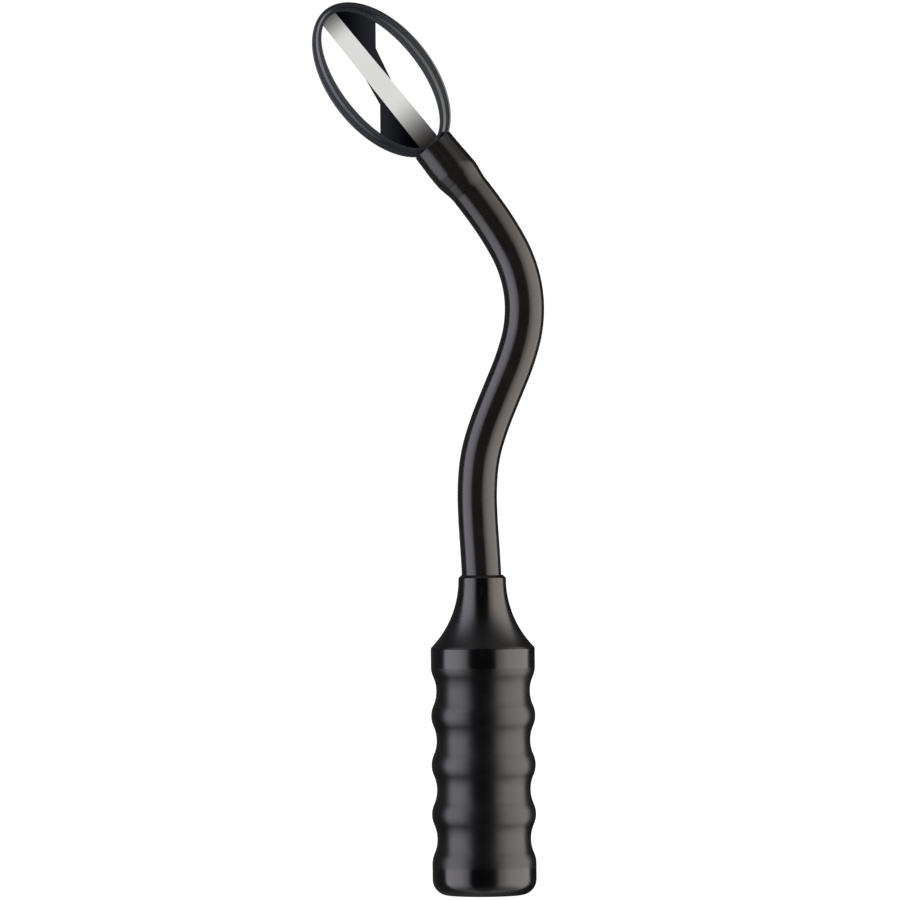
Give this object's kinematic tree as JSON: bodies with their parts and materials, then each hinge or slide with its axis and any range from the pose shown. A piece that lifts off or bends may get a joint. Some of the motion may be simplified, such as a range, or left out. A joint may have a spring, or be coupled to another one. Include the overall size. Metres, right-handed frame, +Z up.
{
  "type": "flexible inspection mirror",
  "caption": "Inspection mirror: a small oval mirror on a self-holding flexible gooseneck with a smooth black sleeve and a turned grip with finger grooves.",
  "frame": {"origin": "centre of the grip's flat base", "axes": "+Z up the grip's axis, the bent neck lies in the XZ plane, and the mirror looks along -Y"},
  "size_m": [0.0644, 0.0292, 0.2502],
  "materials": {
    "anodised_black": "satin black anodised, turned",
    "shrink_sleeve": "smooth semi-gloss black shrink sleeve",
    "frame_black": "glossy blue-black moulding",
    "mirror": "polished silvered glass",
    "adhesive_foam": "matt foam tape",
    "steel": "zinc-plated steel"
  },
  "bodies": {
    "handle": {"grip_body": "anodised_black", "nose_cone": "anodised_black", "lower_ferrule": "steel", "lock_washer": "steel", "lock_nut": "steel", "coil_root": "steel", "sleeve_root": "shrink_sleeve"},
    "neck_01": {"coil_01": "steel", "sleeve_01": "shrink_sleeve"},
    "neck_02": {"coil_02": "steel", "sleeve_02": "shrink_sleeve"},
    "neck_03": {"coil_03": "steel", "sleeve_03": "shrink_sleeve"},
    "neck_04": {"coil_04": "steel", "sleeve_04": "shrink_sleeve"},
    "neck_05": {"coil_05": "steel", "sleeve_05": "shrink_sleeve"},
    "neck_06": {"coil_06": "steel", "sleeve_06": "shrink_sleeve"},
    "neck_07": {"coil_07": "steel", "sleeve_07": "shrink_sleeve"},
    "neck_08": {"coil_08": "steel", "sleeve_08": "shrink_sleeve"},
    "neck_09": {"coil_09": "steel", "sleeve_09": "shrink_sleeve"},
    "neck_10": {"coil_10": "steel", "sleeve_10": "shrink_sleeve"},
    "neck_11": {"coil_11": "steel", "sleeve_11": "shrink_sleeve"},
    "mirror_head": {"sleeve_12": "shrink_sleeve", "coil_tip": "steel", "upper_ferrule": "steel", "tang_rivet": "steel", "sleeve_head": "shrink_sleeve", "mirror_frame": "frame_black", "glass_pad": "adhesive_foam", "mirror_glass": "mirror"}
  },
  "joints": [
    {"name": "bend_01", "type": "hinge", "parent": "handle", "child": "neck_01", "pos_m": [-0.00042, 0, 0.09489], "axis": [0.001, 1, 0.0007], "range_deg": [-19, 26], "deforming": ["sleeve_01"]},
    {"name": "bend_02", "type": "hinge", "parent": "neck_01", "child": "neck_02", "pos_m": [-0.00098, 0, 0.10433], "axis": [0.001, 1, 0.0007], "range_deg": [-28, 17], "deforming": ["sleeve_02"]},
    {"name": "bend_03", "type": "hinge", "parent": "neck_02", "child": "neck_03", "pos_m": [-0.00115, 0, 0.11377], "axis": [0.9995, 0, -0.0332], "range_deg": [-22, 22], "deforming": ["sleeve_03"]},
    {"name": "bend_04", "type": "hinge", "parent": "neck_03", "child": "neck_04", "pos_m": [-0.00016, 0, 0.12316], "axis": [0.001, 1, 0.0007], "range_deg": [-38, 7], "deforming": ["sleeve_04"]},
    {"name": "bend_05", "type": "hinge", "parent": "neck_04", "child": "neck_05", "pos_m": [0.00253, 0, 0.13221], "axis": [0.001, 1, 0.0007], "range_deg": [-28, 17], "deforming": ["sleeve_05"]},
    {"name": "bend_06", "type": "hinge", "parent": "neck_05", "child": "neck_06", "pos_m": [0.00608, 0, 0.14096], "axis": [0.9219, 0, -0.3875], "range_deg": [-22, 22], "deforming": ["sleeve_06"]},
    {"name": "bend_07", "type": "hinge", "parent": "neck_06", "child": "neck_07", "pos_m": [0.00962, 0, 0.14972], "axis": [0.001, 1, 0.0007], "range_deg": [-16, 30], "deforming": ["sleeve_07"]},
    {"name": "bend_08", "type": "hinge", "parent": "neck_07", "child": "neck_08", "pos_m": [0.01204, 0, 0.15884], "axis": [0.001, 1, 0.0007], "range_deg": [-2, 45], "deforming": ["sleeve_08"]},
    {"name": "bend_09", "type": "hinge", "parent": "neck_08", "child": "neck_09", "pos_m": [0.01223, 0, 0.16826], "axis": [0.9936, 0, 0.1132], "range_deg": [-22, 22], "deforming": ["sleeve_09"]},
    {"name": "bend_10", "type": "hinge", "parent": "neck_09", "child": "neck_10", "pos_m": [0.00994, 0, 0.1774], "axis": [0.001, 1, 0.0007], "range_deg": [-2, 44], "deforming": ["sleeve_10"]},
    {"name": "bend_11", "type": "hinge", "parent": "neck_10", "child": "neck_11", "pos_m": [0.00559, 0, 0.18578], "axis": [0.001, 1, 0.0007], "range_deg": [-13, 32], "deforming": ["sleeve_11"]},
    {"name": "bend_12", "type": "hinge", "parent": "neck_11", "child": "mirror_head", "pos_m": [0.00029, 0, 0.1936], "axis": [0.8064, 0, 0.5913], "range_deg": [-22, 22], "deforming": ["sleeve_12"]}
  ]
}
